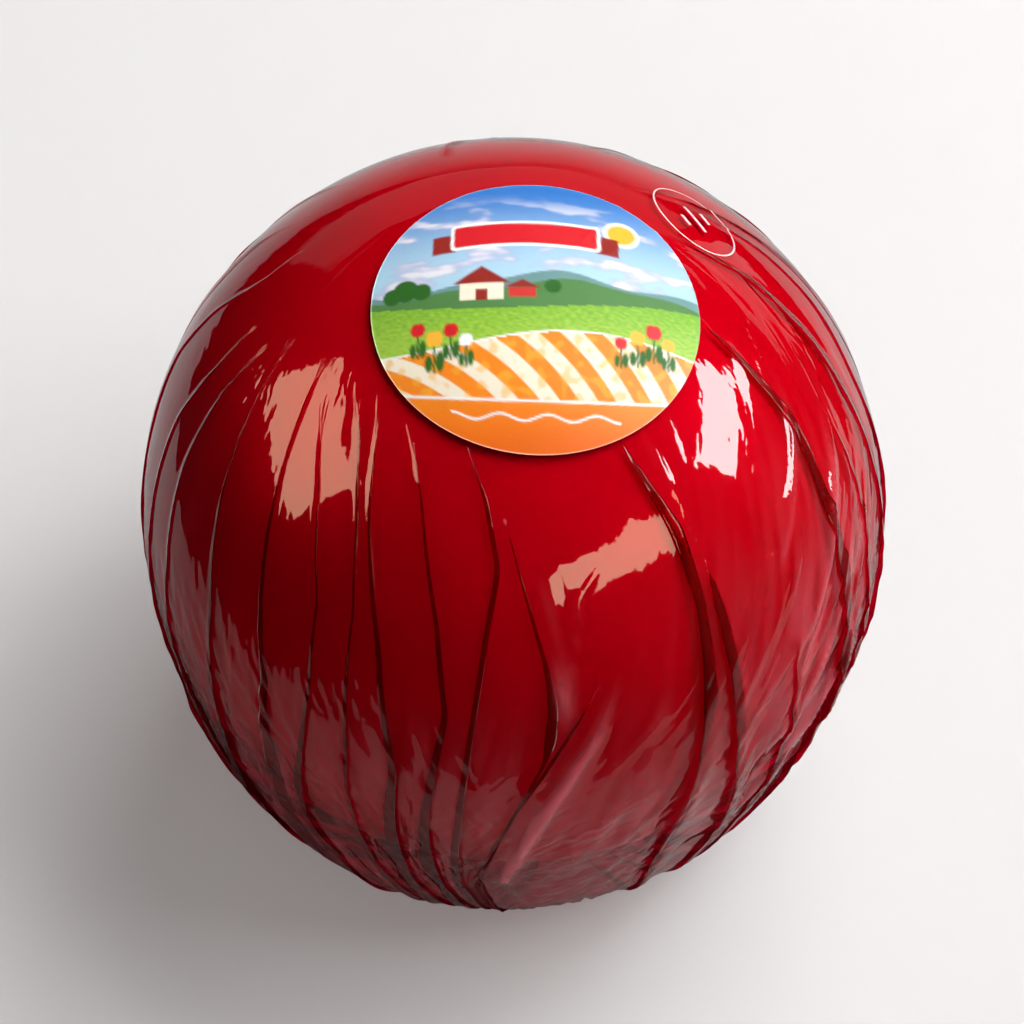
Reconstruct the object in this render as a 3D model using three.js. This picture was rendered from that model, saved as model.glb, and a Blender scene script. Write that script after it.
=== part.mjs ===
// A ball of cheese as it is sold whole: a waxed ball shut in a tinted clear film, with a round paper
// label on top. The film is drawn down from a smooth cap, laid in pleats and gathered under the
// front of the ball, which stands on the gather.
// Millimetres, +Z up. The origin is the middle of the footprint, on the table. -Y is the front.
import * as THREE from "three";

// The ball
const BALL_ACROSS = 146; // diameter of the waxed cheese
const BALL_FLATNESS = 0.95; // height over width
const BALL_LIFT = 1.5; // gathered film between the cheese and the table
const BALL_AT = [-0.4, 0.5]; // the ball's axis, from the middle of the footprint

// The film. Its own axis leans back from the ball's: the smooth cap faces up and back, and the
// gather lies under the front.
const FILM_GAP = 1.0; // film outside the cheese where it lies close
const FILM_LEAN = 26; // degrees from upright
const FILM_LEAN_TOWARDS = 195; // degrees round from the front, by the right
const FILM_LEAVES_AT = -2; // degrees above the ball's middle, where the film leaves the cheese
const FILM_SLOPE = 0.73; // 1 drops straight from there, 0 follows the cheese
const FILM_SLOPE_SWING = 0.16; // fuller on one side than on the other
const FILM_FULLEST_AT = -20; // degrees round from the front, by the right
const FILM_MOST = 1.15; // furthest that the loose film stands out, over the ball's radius
const FILM_MOST_ROUNDING = 0.06;
const BASE_ROUNDING = 9; // soft edge of the flat that the ball stands on

// The pleats, numbered round the film's axis in degrees from the front, by the right. Each row is
// where the pleat lies, how far down from the cap's middle it starts, the width of its fold when
// it is open, and how high its edge stands there.
const SHOWN_PLEATS = [
  [-80, 36, 6.0, 1.7],
  [-68, 38, 5.0, 1.5],
  [-60, 44, 3.5, 1.2],
  [-49, 38, 6.5, 2.0],
  [-37, 40, 6.0, 1.9],
  [-27, 64, 4.0, 1.4],
  [-16, 44, 6.5, 2.2],
  [-8, 48, 5.0, 1.7],
  [-1, 50, 4.0, 1.4],
  [8, 78, 6.0, 2.4],
  [31, 50, 6.0, 2.4],
  [37, 76, 6.0, 2.2],
  [46, 92, 4.5, 1.5],
  [61, 42, 7.0, 2.3],
  [71, 72, 4.0, 1.4],
  [81, 32, 7.0, 2.2],
  [92, 38, 6.0, 1.9],
];
const BACK_PLEATS = 14; // the rest, spread over what the shown ones leave
const BACK_JITTER = 2.6; // degrees either way
const BACK_START = [22, 46];
const BACK_WIDTH = [4, 7];
const BACK_HEIGHT = [1.3, 2.1];
const PLEAT_OPENS_OVER = 62; // degrees that a pleat takes to open
const PLEAT_DROP = 0.9; // from the edge of a fold down to the film beside it
const FOLD_AT_ONCE = 0.22; // share of its height that a pleat has near its start
const GATHER_FROM = 150; // degrees down, where the folds begin to close into the gather

// The label
const LABEL_ACROSS = 61; // over the curve
const LABEL_AT = [4.2, -1.7]; // its middle, from the ball's axis
const LABEL_THICKNESS = 0.3;
const LABEL_GAP = 0.35; // clear of the film under it

// Fineness
const ROWS = 34;
const LABEL_RINGS = 7;
const LABEL_SECTORS = 48;

const COLOURS = { film: 0xa80716, label: 0x7fb0d8 };

const radius = BALL_ACROSS / 2;
const halfHeight = radius * BALL_FLATNESS;
const centreHeight = BALL_LIFT + halfHeight;
const rad = THREE.MathUtils.degToRad;
const degrees = THREE.MathUtils.radToDeg;
const { clamp, lerp, smoothstep, seededRandom } = THREE.MathUtils;

// The film's frame: its axis, and the directions of its front and its right
const lean = rad(FILM_LEAN);
const towards = rad(FILM_LEAN_TOWARDS);
const filmAxis = new THREE.Vector3(
  Math.sin(lean) * Math.sin(towards),
  -Math.sin(lean) * Math.cos(towards),
  Math.cos(lean),
);
const filmFront = new THREE.Vector3(0, -1, 0).projectOnPlane(filmAxis).normalize();
const filmRight = new THREE.Vector3().crossVectors(filmAxis, filmFront);

// The unit vector at an angle down from the film's axis and an angle round it, both in degrees
function filmDirection(down, round) {
  const s = Math.sin(rad(down));
  return new THREE.Vector3()
    .addScaledVector(filmAxis, Math.cos(rad(down)))
    .addScaledVector(filmFront, s * Math.cos(rad(round)))
    .addScaledVector(filmRight, s * Math.sin(rad(round)));
}

// From the ball's centre to the wax along a direction
function waxRadius(direction) {
  const across = Math.hypot(direction.x, direction.y) / radius;
  return 1 / Math.hypot(across, direction.z / halfHeight);
}

// The smaller of two lengths, with a rounded corner where they cross
function softLess(a, b, rounding) {
  const h = clamp(0.5 + (0.5 * (b - a)) / rounding, 0, 1);
  return lerp(b, a, h) - rounding * h * (1 - h);
}

// From the ball's centre to the film, which stands off by its relief. Below the place where it
// leaves the cheese it hangs loose, and under the ball the table stops it.
function filmRadius(direction, relief = 0) {
  const past = Math.max(0, FILM_LEAVES_AT - degrees(Math.asin(direction.z)));
  const turn = Math.atan2(direction.x, -direction.y) - rad(FILM_FULLEST_AT);
  const slope = FILM_SLOPE + FILM_SLOPE_SWING * Math.cos(turn);
  const loose = 1 / Math.cos(rad(Math.min(past * slope, 60)));
  const swell = softLess(loose, FILM_MOST, FILM_MOST_ROUNDING);
  const free = (waxRadius(direction) + FILM_GAP) * Math.max(1, swell) + relief;
  if (direction.z > -0.2) return free;
  return softLess(free, centreHeight / -direction.z, BASE_ROUNDING);
}

// The back pleats fill the gap between the last shown pleat and the first
function backPleats() {
  const random = (low, high) => lerp(low, high, seededRandom());
  seededRandom(7);
  const from = SHOWN_PLEATS.at(-1)[0];
  const gap = (SHOWN_PLEATS[0][0] + 360 - from) / (BACK_PLEATS + 1);
  return Array.from({ length: BACK_PLEATS }, (_, i) => [
    from + gap * (i + 1) + random(-BACK_JITTER, BACK_JITTER),
    random(...BACK_START),
    random(...BACK_WIDTH),
    random(...BACK_HEIGHT),
  ]);
}

const pleats = [...SHOWN_PLEATS, ...backPleats()];

// How far a pleat is open, from 0 at its start to 1, at an angle down from the axis
function opened(down, start) {
  const open = FOLD_AT_ONCE * smoothstep(down, start, start + 8);
  const wide = (1 - FOLD_AT_ONCE) * smoothstep(down, start + 4, start + PLEAT_OPENS_OVER);
  const closing = 1 - smoothstep(down, GATHER_FROM, 178);
  return (open + wide) * closing;
}

// One row of the film: a closed ring of [round, relief], with five places to each pleat: the foot
// of its ramp, half way up, the edge of the fold, its drop, and the middle of the panel beyond
function filmRow(down) {
  const ringRadius = radius * Math.sin(rad(down));
  const degreesPer = (length) => degrees(length / Math.max(ringRadius, 1));
  return pleats.flatMap(([round, start, width, height], i) => {
    const next = i + 1 < pleats.length ? pleats[i + 1][0] : pleats[0][0] + 360;
    const previous = i > 0 ? pleats[i - 1][0] : pleats.at(-1)[0] - 360;
    const amount = opened(down, start);
    const room = 0.42 * (round - previous);
    const ramp = Math.min(degreesPer(width * Math.max(amount, 0.25)), room);
    const drop = Math.min(degreesPer(PLEAT_DROP), 0.2 * (next - round));
    const relief = height * amount;
    return [
      [round - ramp, 0],
      [round - ramp / 2, relief * 0.62],
      [round, relief],
      [round + drop, 0],
      [(round + drop + next) / 2 - 0.25 * ramp, 0],
    ];
  });
}

// Joins rings of points and a point at each end into one closed surface. Rings run round to the
// right, from the top down.
function closedSurface(top, rings, bottom) {
  const n = rings[0].length;
  const points = [top, ...rings.flat(), bottom];
  const index = [];
  const at = (ring, i) => 1 + ring * n + (i % n);
  const last = points.length - 1;
  for (let i = 0; i < n; i++) {
    index.push(0, at(0, i), at(0, i + 1));
    for (let ring = 0; ring + 1 < rings.length; ring++) {
      const [a, b] = [at(ring, i), at(ring, i + 1)];
      const [c, d] = [at(ring + 1, i), at(ring + 1, i + 1)];
      index.push(a, c, d, a, d, b);
    }
    index.push(last, at(rings.length - 1, i + 1), at(rings.length - 1, i));
  }
  const geometry = new THREE.BufferGeometry().setFromPoints(points);
  geometry.setIndex(index);
  geometry.computeVertexNormals();
  return geometry;
}

// The wrapped ball. Rows crowd a little towards the bottom, where the film is busiest.
function wrappedCheese() {
  const point = (down, round, relief) => {
    const direction = filmDirection(down, round);
    const p = direction.clone().multiplyScalar(filmRadius(direction, relief));
    if (p.z < 0.02 - centreHeight) p.z = -centreHeight;
    return p;
  };
  const rings = Array.from({ length: ROWS }, (_, j) => {
    const down = 177 * Math.pow((j + 1) / ROWS, 0.9);
    return filmRow(down).map(([round, relief]) => point(down, round, relief));
  });
  return closedSurface(point(0, 0, 0), rings, point(180, 0, 0));
}

// The label: a thin disc that follows the film, both faces and the rim
function label() {
  const reach = LABEL_ACROSS / 2;
  const point = (out, turn, lift) => {
    // laid over the curve, so that the disc keeps its size
    const flat = radius * Math.sin((out * reach) / radius);
    const x = LABEL_AT[0] + flat * Math.cos(turn);
    const y = LABEL_AT[1] + flat * Math.sin(turn);
    const z = halfHeight * Math.sqrt(1 - (x * x + y * y) / radius ** 2);
    const direction = new THREE.Vector3(x, y, z).normalize();
    return direction.multiplyScalar(filmRadius(direction) + lift);
  };
  const ring = (out, lift) =>
    Array.from({ length: LABEL_SECTORS }, (_, i) => {
      return point(out, (2 * Math.PI * i) / LABEL_SECTORS, lift);
    });
  const outs = Array.from({ length: LABEL_RINGS }, (_, k) => (k + 1) / LABEL_RINGS);
  const under = LABEL_GAP;
  const over = LABEL_GAP + LABEL_THICKNESS;
  const rings = [
    ...outs.map((out) => ring(out, over)),
    ...outs.toReversed().map((out) => ring(out, under)),
  ];
  return closedSurface(point(0, 0, over), rings, point(0, 0, under));
}

function piece(name, geometry, material) {
  const mesh = new THREE.Mesh(geometry, material);
  mesh.name = name;
  return mesh;
}

const film = new THREE.MeshStandardMaterial({
  color: COLOURS.film,
  roughness: 0.08,
  metalness: 0,
});
const paper = new THREE.MeshStandardMaterial({
  color: COLOURS.label,
  roughness: 0.45,
  metalness: 0,
});

const ball = new THREE.Group();
ball.position.set(...BALL_AT, centreHeight);
ball.add(piece("wrapped_cheese", wrappedCheese(), film));
ball.add(piece("label", label(), paper));

const part = new THREE.Group();
part.add(ball);

export default part;
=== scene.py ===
import math

import bpy
import numpy as np
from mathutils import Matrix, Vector
from mathutils.bvhtree import BVHTree


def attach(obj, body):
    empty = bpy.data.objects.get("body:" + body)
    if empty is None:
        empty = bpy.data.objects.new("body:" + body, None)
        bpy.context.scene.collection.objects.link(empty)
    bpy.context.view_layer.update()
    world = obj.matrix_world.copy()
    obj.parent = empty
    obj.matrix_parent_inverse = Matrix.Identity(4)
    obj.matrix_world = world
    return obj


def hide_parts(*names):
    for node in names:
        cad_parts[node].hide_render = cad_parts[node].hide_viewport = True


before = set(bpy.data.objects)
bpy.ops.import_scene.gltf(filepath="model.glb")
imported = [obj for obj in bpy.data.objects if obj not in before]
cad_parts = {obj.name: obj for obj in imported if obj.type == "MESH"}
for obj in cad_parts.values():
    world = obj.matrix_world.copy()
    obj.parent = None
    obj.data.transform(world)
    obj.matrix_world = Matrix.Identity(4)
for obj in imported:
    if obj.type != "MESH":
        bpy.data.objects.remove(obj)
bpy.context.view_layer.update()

# The ball and the film round it, as in the solid
BALL_ACROSS = 146.0
BALL_FLATNESS = 0.95
BALL_LIFT = 1.5
BALL_AT = (-0.4, 0.5)
FILM_GAP = 1.0
FILM_LEAN = 26.0
FILM_LEAN_TOWARDS = 195.0
FILM_LEAVES_AT = -2.0
FILM_SLOPE = 0.73
FILM_SLOPE_SWING = 0.16
FILM_FULLEST_AT = -20.0
FILM_MOST = 1.15
FILM_MOST_ROUNDING = 0.06
BASE_ROUNDING = 9.0
WAX_GAP = 0.55  # air between the wax and the film where it lies close
WAX_UNEVEN = 0.25  # that the wax bulges and sinks by
WAX_LOWEST = 0.4  # over the table, on the film
WAX_GRID = (160, 81)  # points round the ball, and from top to bottom

RADIUS = BALL_ACROSS / 2
HALF_HEIGHT = RADIUS * BALL_FLATNESS
CENTRE = np.array([*BALL_AT, BALL_LIFT + HALF_HEIGHT])

# The label
LABEL_ACROSS = 61.0
LABEL_AT = (4.2, -1.7)
LABEL_THICKNESS = 0.1
LABEL_GAP = 0.17  # clear of the film under it
LABEL_GRID = 170  # points along each side of its mesh
LABEL_MIDDLE = np.array([*LABEL_AT, HALF_HEIGHT]) / math.hypot(*LABEL_AT, HALF_HEIGHT)
LABEL_CALMS = (27, 21)  # degrees from its middle over which the film grows smooth towards it
LABEL_WAVES = [(0.05, 9, 41), (0.03, 26, 42)]  # height in mm, waves over the ball's radius, seed
LABEL_CURL = 0.09  # of its rim, mm
# Creases in the label: height in mm, radians round, half breadth, and where each starts and is
# full, as shares of the label's radius
LABEL_CREASES = [(0.14, 0.72, 0.035, 0.45, 0.7), (0.10, 1.02, 0.03, 0.3, 0.6)]

# The pleats that the photo shows. Each has the side on which its fold lies from its open edge,
# the height of that edge low down in mm, and where it runs: degrees down from the film's axis,
# degrees round from the front by the right, and the width of the fold in mm.
LEFT, RIGHT = -1, 1
SHOWN_PLEATS = [
    (LEFT, 1.3, [
        (34, -74, 0), (45, -83, 0.8), (56, -87, 1.2), (69, -82, 1.6), (84, -79, 2.0), (130, -82, 6),
    ]),
    (LEFT, 1.2, [
        (38, -62, 0), (46, -64, 0.6), (59, -69, 0.8), (77, -69, 1.2), (100, -70, 2.6), (130, -72, 6),
    ]),
    (LEFT, 0.9, [(40, -54, 0), (50, -58, 0.7), (62, -60, 0.9), (80, -60, 1.3), (130, -65, 3)]),
    (LEFT, 1.3, [
        (37, -48, 0), (51, -48, 0.5), (66, -47, 0.8), (81, -46, 1.2), (100, -49, 2.4), (130, -58, 6),
    ]),
    (RIGHT, 1.3, [
        (38, -36, 0), (57, -36, 0.5), (76, -36, 0.9), (88, -36, 1.3), (108, -41, 2.6), (130, -49, 6),
    ]),
    (LEFT, 1.0, [
        (45, -31, 0), (58, -27, 0.4), (74, -25, 0.7), (88, -27, 1.0), (101, -31, 1.8), (122, -40, 4),
    ]),
    (LEFT, 0.7, [
        (42, -24, 0), (49, -21, 0.8), (60, -19, 0.7), (74, -19, 0.6), (95, -22, 1), (130, -30, 1.5),
    ]),
    (LEFT, 1.6, [
        (43, -18, 0), (60, -17, 0.7), (79, -15, 1.2), (100, -15, 1.9), (115, -19, 3), (135, -24, 5),
    ]),
    (LEFT, 1.3, [
        (46, -11, 0), (58, -8, 0.6), (76, -6, 1.0), (90, -6, 1.3), (113, -13, 2.2), (135, -18, 4),
    ]),
    (LEFT, 1.0, [
        (47, -1, 0), (58, 3, 0.8), (68, 4, 1.1), (78, 1, 1.1),
        (90, -2, 1.1), (110, -7, 1.5), (135, -14, 2),
    ]),
    (LEFT, 0.7, [
        (58, 5, 0), (70, 7, 0.5), (83, 9, 0.9), (90, 9.6, 1.8),
        (96, 8.6, 2.2), (99, 7, 0.6), (136, -12, 0.4),
    ]),
    (LEFT, 0.8, [
        (86, 17, 0), (92, 13, 0.4), (97, 9.6, 0.7), (103, 5.6, 0.9),
        (111, 0.5, 1.1), (126, -6, 1.6), (137, -10.5, 2),
    ]),
    (RIGHT, 1.9, [
        (50, 27, 0), (60, 29, 1.4), (68, 31, 2.6), (80, 32, 4.6),
        (93, 31, 4.2), (104, 30, 2.2), (127, 27, 1.4),
    ]),
    (RIGHT, 1.8, [
        (72, 35, 0), (84, 35, 2.4), (101, 36, 2.8), (112, 37, 1.8), (127, 40, 1.2), (140, 41, 1),
    ]),
    (RIGHT, 0.8, [(92, 48, 0), (108, 48, 1.2), (130, 49, 3)]),
    (RIGHT, 1.7, [(41, 58, 0), (50, 59, 1.5), (62, 61, 2.2), (78, 60, 3.2), (94, 60, 4), (130, 60, 7)]),
    (RIGHT, 1.0, [(66, 71, 0), (80, 71, 1.4), (92, 70, 1.8), (130, 70, 4)]),
    (RIGHT, 1.4, [(31, 77, 0), (45, 81, 1.6), (61, 81, 2.2), (82, 80, 3), (130, 79, 6)]),
    (RIGHT, 1.2, [
        (37, 97, 0), (48, 97, 0.9), (60, 94, 1.2), (71, 89, 1.8), (88, 88, 2.6), (130, 90, 5),
    ]),
]
# Creases that stand up from the film alone: height and half breadth in mm, and where they run
SHOWN_RIDGES = [
    (1.5, 3.6, [(83, 21), (95, 15.2), (101, 11.2), (111, 5.2), (126, -1.5), (137, -6.5)]),
    (0.35, 1.8, [(64, 12), (70, 10), (78, 10.5), (90, 11)]),
    (0.3, 1.6, [(68, 21), (74, 15), (84, 12.5), (92, 11.5)]),
    (0.7, 3.0, [(99, 25), (110, 19), (122, 12), (134, 5)]),
    (0.6, 2.6, [(96, 22), (108, 22), (122, 20), (138, 16)]),
    (0.5, 2.4, [(88, 28), (96, 24), (104, 16), (112, 10)]),
    (0.16, 2.2, [(46, 40), (54, 38), (62, 37)]),
    (0.22, 2.0, [(50, 33), (57, 33), (66, 34.5)]),
    (0.8, 3.2, [(62, 72), (74, 66), (86, 57), (98, 47)]),
    (0.9, 3.4, [(80, 68), (92, 62), (104, 53), (116, 44)]),
    (0.9, 3.0, [(96, 66), (108, 60), (120, 51), (132, 43)]),
    (0.6, 2.6, [(56, 66), (66, 60), (76, 52), (84, 45)]),
    (0.5, 2.2, [(84, -56), (96, -53), (110, -54), (126, -58)]),
    (0.5, 2.2, [(80, -42), (92, -43), (106, -48), (124, -56)]),
    (0.5, 2.0, [(84, -10), (94, -10), (108, -14), (126, -21)]),
    (0.6, 2.4, [(12, -160), (20, -165), (27, -176)]),
]
# The pleats at the back: degrees off an even spread, degrees down at their start, and mm
BACK_PLEATS = 14
BACK_JITTER = 2.6
BACK_START = (22, 46)
BACK_WIDTH = (4, 7)
BACK_HEIGHT = (1.3, 2.1)

# Places on the film: degrees down, degrees round, and half sizes down and round
RIGHT_FLANK = (104, 56, 34, 20)
LEFT_FLANK = (96, -40, 30, 46)
FRONT_FOOT = (130, 6, 24, 26)
RIGHT_SHOULDER = (62, 72, 26, 14)
LEFT_WINDOW = (50, -42, 12, 14)  # where the film shows the windows of the room
FRONT_WINDOW = (60, 25, 22, 26)
CLEAR_FRONT = (90, 12, 20, 26)
HAZY_RIGHT = (108, 60, 25, 20)
HAZY_LEFT = (88, -72, 24, 16)
HAZY_FOOT = (122, 32, 14, 18)
LEANING_RIGHT = (104, 54, 34, 20)
REEDS = (85, -22, 6, 17)
MOTTLED_LEFT = (49, -60, 5, 14)
MOTTLED_FRONT = (72, -40, 6, 7)
FLAP = (88.5, 10.6, 4, 1.1)  # beside the front ridge

# The camera, where the photo was taken from, and the photo's frame in pixels
CAMERA_ELEVATION = 57.0
CAMERA_DISTANCE = 600.0
CAMERA_LENS = 104.6
SENSOR = 36.0
PHOTO_SIDE = 1024
BALL_CENTRE_PIXEL = (512.4, 499.8)

rad = np.radians
deg = np.degrees


def unit(vector):
    """The vector, or the last axis of an array of them, at length 1."""
    return vector / np.linalg.norm(vector, axis=-1, keepdims=True)


def stacked(*parts):
    """Points in space, or on a plane, from arrays of each of their parts."""
    return np.stack(np.broadcast_arrays(*parts), axis=-1)


def lerp(a, b, t):
    return a + (b - a) * t


def smoothstep(x, low, high):
    t = np.clip((x - low) / (high - low), 0, 1)
    return t * t * (3 - 2 * t)


def soft_less(a, b, rounding):
    """The smaller of two lengths, with a rounded corner where they cross."""
    h = np.clip(0.5 + 0.5 * (b - a) / rounding, 0, 1)
    return lerp(b, a, h) - rounding * h * (1 - h)


# The film's frame: its axis, and the directions of its front and its right
film_lean, film_turn = rad(FILM_LEAN), rad(FILM_LEAN_TOWARDS)
leant = math.sin(film_lean)
film_axis = np.array([leant * math.sin(film_turn), -leant * math.cos(film_turn), math.cos(film_lean)])
FRONT = np.array([0.0, -1.0, 0.0])
film_front = unit(FRONT - film_axis * (FRONT @ film_axis))
film_right = np.cross(film_axis, film_front)


def film_direction(down, turn):
    """Unit vectors at angles down from the film's axis and round it."""
    down, turn = np.broadcast_arrays(rad(down), rad(turn))
    sine = np.sin(down)[..., None]
    return (
        np.cos(down)[..., None] * film_axis
        + sine * np.cos(turn)[..., None] * film_front
        + sine * np.sin(turn)[..., None] * film_right
    )


def wax_radius(direction):
    across = np.hypot(direction[..., 0], direction[..., 1]) / RADIUS
    return 1 / np.hypot(across, direction[..., 2] / HALF_HEIGHT)


def film_radius(direction, relief=0.0):
    """From the ball's centre to the film, which stands off by its relief."""
    z = direction[..., 2]
    past = np.maximum(0, FILM_LEAVES_AT - deg(np.arcsin(z)))
    turn = np.arctan2(direction[..., 0], -direction[..., 1]) - rad(FILM_FULLEST_AT)
    slope = FILM_SLOPE + FILM_SLOPE_SWING * np.cos(turn)
    loose = 1 / np.cos(rad(np.minimum(past * slope, 60)))
    swell = soft_less(loose, FILM_MOST, FILM_MOST_ROUNDING)
    free = (wax_radius(direction) + FILM_GAP) * np.maximum(1, swell) + relief
    table = CENTRE[2] / np.maximum(-z, 0.2)
    return np.where(z > -0.2, free, soft_less(free, table, BASE_ROUNDING))


def gradient_noise(points, seed):
    """Smooth noise of about -1 to 1 at points in space, one unit from bump to bump."""
    rng = np.random.default_rng(seed)
    order = rng.permutation(256)
    slopes = unit(rng.normal(size=(256, 3)))
    cell = np.floor(points).astype(int)
    inside = points - cell
    fade = inside ** 3 * (inside * (inside * 6 - 15) + 10)
    total = np.zeros(points.shape[:-1])
    for corner in np.ndindex(2, 2, 2):
        corner = np.array(corner)
        at = (cell + corner) & 255
        pick = order[(order[(order[at[..., 0]] + at[..., 1]) & 255] + at[..., 2]) & 255]
        weight = np.prod(np.where(corner, fade, 1 - fade), axis=-1)
        total += weight * np.sum(slopes[pick] * (inside - corner), axis=-1)
    return total * 1.6


def streaks(down, turn, across, along, lean, seed):
    """Noise drawn out down the film: its breadth and length in mm, and its lean in degrees round for
    each degree down."""
    angle = rad(turn + lean * (down - 90))
    breadth, length = RADIUS / across, RADIUS / along
    points = stacked(breadth * np.cos(angle), breadth * np.sin(angle), length * rad(down))
    return gradient_noise(points, seed)


def ridged(noise, sharpness=2.4):
    """Turns smooth noise into creases with a sharp crest."""
    return 1 - np.minimum(np.abs(noise) * sharpness, 1)


def patch(down, turn, at_down, at_turn, high, wide):
    """1 in the middle of a patch of the film and 0 well outside it. Half sizes are in degrees."""
    off = (turn - at_turn + 180) % 360 - 180
    return np.exp(-(((down - at_down) / high) ** 2) - (off / wide) ** 2)


def looseness(down, turn):
    """How loose the film is, from 0 where it is drawn smooth to 1 in the gathered underside."""
    latitude = deg(np.arcsin(film_direction(down, turn)[..., 2]))
    return smoothstep(-latitude, -24, 42)


def ridge_relief(down, turn):
    """Height of the creases that stand alone, in mm."""
    total = 0 * down * turn
    for height, half, path in SHOWN_RIDGES:
        at_down, at_turn = np.array(path, float).T
        first, last = at_down[0], at_down[-1]
        off = (turn - np.interp(down, at_down, at_turn) + 180) % 360 - 180
        near = 1 - np.minimum(np.abs(rad(off)) * RADIUS * np.sin(rad(down)) / half, 1)
        ends = smoothstep(down, first, lerp(first, last, 0.4)) * (1 - smoothstep(down, last - 6, last))
        total = total + height * ends * near ** 1.6
    return total


def film_crinkle(down, turn):
    """How far the film stands off from its plain form by its lumps and creases, in mm."""
    direction = film_direction(down, turn)
    loose = looseness(down, turn)
    drawn = loose * smoothstep(down, 34, 70)
    right = np.minimum(patch(down, turn, *RIGHT_FLANK) * 1.3, 1) * smoothstep(down, 62, 86)
    left = patch(down, turn, *LEFT_FLANK) * smoothstep(down, 70, 96)
    windows = np.maximum(0.4 * patch(down, turn, *LEFT_WINDOW), patch(down, turn, *FRONT_WINDOW))
    covered = smoothstep(direction @ LABEL_MIDDLE, *np.cos(rad(LABEL_CALMS)))
    # each row is a lump's breadth, its seed and its height
    lumps = [
        (23, 3, lerp(0.12, 0.55, loose) * (1 - 0.8 * covered)),
        (9, 10, 0.10 * windows),
        (8, 4, lerp(0.024, 0.20, loose)),
    ]
    # each row is a crease's breadth and length, its lean, its seed and its height
    creases = [
        (6.0, 40, 0.0, 5, 0.65 * drawn),
        (3.0, 20, 0.15, 6, 0.26 * drawn),
        (3.4, 16, -0.35, 13, 0.45 * left),
        (8.0, 34, 0.9, 7, 0.85 * right),
        (4.0, 18, 0.8, 12, 0.28 * right),
        (5.0, 22, 0.8, 8, 0.6 * patch(down, turn, *FRONT_FOOT)),
        (4.5, 24, 0.3, 9, 0.3 * patch(down, turn, *RIGHT_SHOULDER)),
    ]
    total = ridge_relief(down, turn)
    for breadth, seed, height in lumps:
        total = total + height * gradient_noise(direction * RADIUS / breadth, seed)
    for across, along, lean, seed, height in creases:
        total = total + height * ridged(streaks(down, turn, across, along, lean, seed))
    return total


def spread(i, k):
    """A share from 0 to 1 for the i-th back pleat, even over the pleats. k tells its uses apart."""
    return (0.618034 * i + 0.37 * k) % 1


def turn_of(row, k):
    """Degrees round at the k-th point of a pleat's row."""
    _, _, path = row
    return path[k][1]


def back_pleats():
    """Pleats like the shown ones, in the gap from the last shown one round the back to the first."""
    first = turn_of(SHOWN_PLEATS[-1], 2)
    gap = (turn_of(SHOWN_PLEATS[0], 2) + 360 - first) / (BACK_PLEATS + 1)
    made = []
    for i in range(BACK_PLEATS):
        turn = first + gap * (i + 1) + lerp(-BACK_JITTER, BACK_JITTER, spread(i, 0))
        start = lerp(*BACK_START, spread(i, 1))
        width = lerp(*BACK_WIDTH, spread(i, 2))
        height = lerp(*BACK_HEIGHT, spread(i, 3))
        bow = lerp(-2, 2, spread(i, 4))
        path = [
            (start, turn + bow, 0),
            (start + 14, turn, 0.5 * width),
            (start + 45, turn - bow, 0.8 * width),
            (130, turn, width),
        ]
        made.append((RIGHT if i % 3 else LEFT, height, path))
    return made


# Rows of the film's mesh, and for each pleat the places of its columns. Along the sheet a fold goes
# over its foot, back up through its middle and out again over its top.
ROWS = 290
FIRST_DOWN, LAST_DOWN = 0.6, 178.5
COLUMN_SPACING = (0.72, 1.05)  # across a panel, on the shown side and at the back
FOLD_COLUMNS = 7
FLAT_STRIP = 3.0  # breadth of a fold's columns where the pleat hasn't begun
FLAT_MOST = 4.5  # the same near the middle of the cap, in degrees
CAP_EVEN = (6, 22)  # degrees down over which the pleats leave an even spread
HAZE_MOST = 0.30  # share of light that the most crumpled film scatters
FOLD_CLEAR = 0.75  # share of that which a fold's tight layers lack
FLAP_HAZE = 0.34  # more where the small flap's single layer stands up
LAYER = 0.16  # between the layers of a fold, mm
EDGE_HEIGHT = (0.10, 0.24)  # of a fold's edge where the film lies close, at its start and on
EDGE_OVER = 25  # degrees down from its start that it takes to reach the second
LIP_HEIGHT, LIP_REACH = 0.15, 0.5  # of the small curl along a fold's open edge, mm
OPENS_OVER = 7.0  # degrees over which a fold begins
GROWS_OVER = (72, 124)  # degrees down over which a fold rises to its full height
SINKS_OVER = (116, 142)
UNDERSIDE_SINK = 0.6  # share of its height that a fold loses towards the underside
RAMP_CLOSE, RAMP_LOW = 0.9, 2.2  # from a fold down to the film, high on the ball and low, mm
RAMP_MORE = 1.8  # mm more low down for each mm of a fold's height
GATHER_FROM, GATHER_TO = 150.0, 178.0

CAP_TO = 30  # degrees down
SPARSE_ROWS = 26  # on the smooth cap, and again in the gather
rows = np.concatenate([
    np.linspace(FIRST_DOWN, CAP_TO, SPARSE_ROWS, endpoint=False),
    np.linspace(CAP_TO, GATHER_FROM, ROWS - 2 * SPARSE_ROWS, endpoint=False),
    np.linspace(GATHER_FROM, LAST_DOWN, SPARSE_ROWS),
])
WIDEST_ROW = int(np.argmin(np.abs(rows - 90)))
ring = RADIUS * np.sin(rad(rows))  # the radius of each row's ring


def smooth_rows(values, reach=5):
    kernel = np.hanning(2 * reach + 3)[1:-1]
    kernel /= kernel.sum()
    padded = np.pad(values, reach, mode="edge")
    return np.convolve(padded, kernel, mode="valid")


def to_degrees(length):
    return deg(length / np.maximum(ring, 1.0))


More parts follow.
